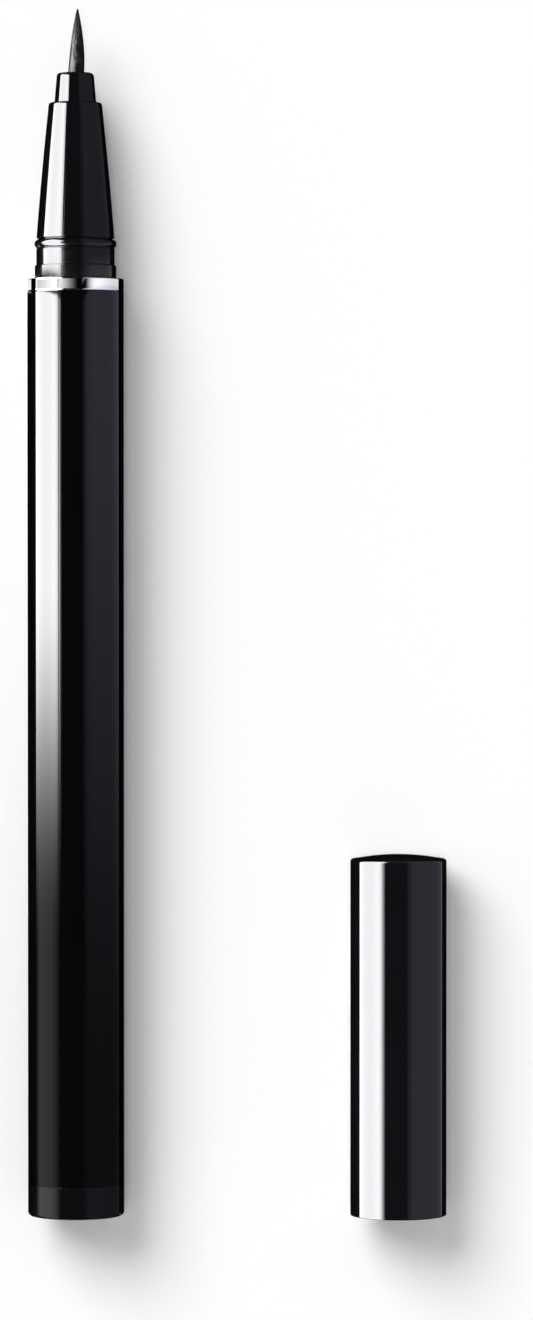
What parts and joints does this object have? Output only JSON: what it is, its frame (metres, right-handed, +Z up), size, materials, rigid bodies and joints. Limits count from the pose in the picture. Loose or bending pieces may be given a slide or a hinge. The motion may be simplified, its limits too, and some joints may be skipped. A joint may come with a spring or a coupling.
{
  "type": "liquid eyeliner pen",
  "caption": "Slim gloss black liquid eyeliner pen with a pointed brush, tapered snap nose, bright ring and plugged barrel, lying beside its pull-off cap with a sprung inner seal.",
  "frame": {"origin": "on the surface that the pen and the cap lie on, midway between their axes and halfway along the pen", "axes": "+Z up from the surface, +Y along the pen from its tail to its brush, +X from the pen to the cap"},
  "size_m": [0.0452, 0.1304, 0.0104],
  "materials": {
    "gloss_black": "polished moulded plastic",
    "bright_plating": "bright plating",
    "brush_fibre": "fine tapered filaments wet with ink",
    "wick_fibre": "bonded fibre soaked with ink",
    "natural_plastic": "undyed moulded plastic",
    "seal_rubber": "smooth moulded rubber",
    "steel": "bright drawn or ground steel"
  },
  "bodies": {
    "pen": {"barrel": "gloss_black", "tail_plug": "gloss_black", "trim_ring": "bright_plating", "nose_cone": "gloss_black", "tip_collar": "gloss_black", "brush_tip": "brush_fibre", "feed_wick": "wick_fibre", "ink_collector": "natural_plastic", "ink_tank": "natural_plastic", "tank_seal": "seal_rubber", "tank_stopper": "natural_plastic"},
    "ball": {"mixing_ball": "steel"},
    "cap": {"cap_shell": "gloss_black", "cap_sleeve": "natural_plastic", "cap_spring": "steel"},
    "seal_cup": {"inner_cap": "natural_plastic"}
  },
  "joints": [
    {"name": "cap_pull", "type": "slide", "parent": "pen", "child": "cap", "axis": [0, 1, 0], "range_m": [0, 0.135]},
    {"name": "seal_cup_slide", "type": "slide", "parent": "cap", "child": "seal_cup", "axis": [0, 1, 0], "range_m": [0, 0.0025], "stiffness_N_per_m": 250, "springref_m": -0.004, "deforming": ["cap_spring"]},
    {"name": "ball_travel", "type": "slide", "parent": "pen", "child": "ball", "axis": [0, 1, 0], "range_m": [0, 0.0395]}
  ]
}
